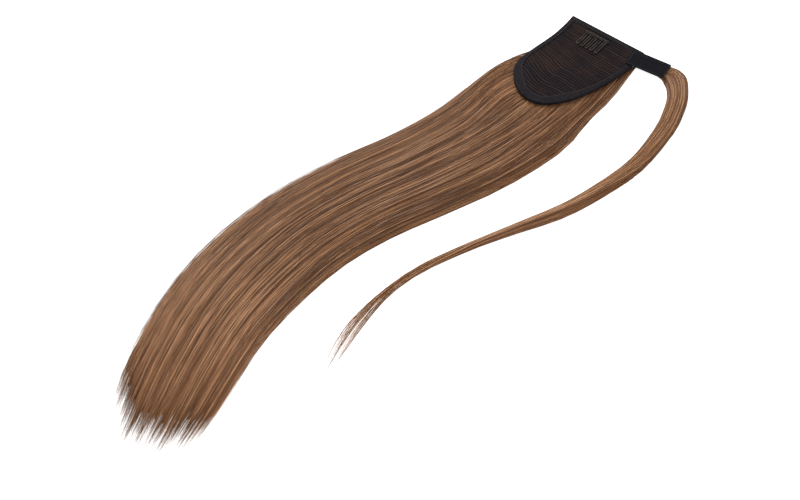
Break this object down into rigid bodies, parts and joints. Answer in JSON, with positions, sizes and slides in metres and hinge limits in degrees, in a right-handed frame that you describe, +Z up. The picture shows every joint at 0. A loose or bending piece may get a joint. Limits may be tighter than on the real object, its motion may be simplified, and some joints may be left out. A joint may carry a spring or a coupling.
{
  "type": "ponytail hairpiece",
  "caption": "Wrap-around clip-in ponytail: a long straight fall of hair on a small net base with a comb, a hook-and-loop strap and a thin lock that is wound round the join.",
  "frame": {"origin": "centre of the bounding box's floor, on the table that the hairpiece lies on", "axes": "+Z up, away from the table, +Y from the hair's tips towards the base's top edge, +X towards the strap's side"},
  "size_m": [0.2616, 0.6141, 0.019],
  "materials": {
    "hair": "glossy straight brown hair",
    "net": "matt dark net",
    "tape": "matt woven tape",
    "hook_tape": "satin hook-and-loop tape",
    "comb_wire": "black satin"
  },
  "bodies": {
    "root": {"net_panel": "net", "edge_binding": "tape", "comb": "comb_wire", "strap": "hook_tape", "wrap_lock": "hair", "hair_fall": "hair"}
  },
  "joints": []
}
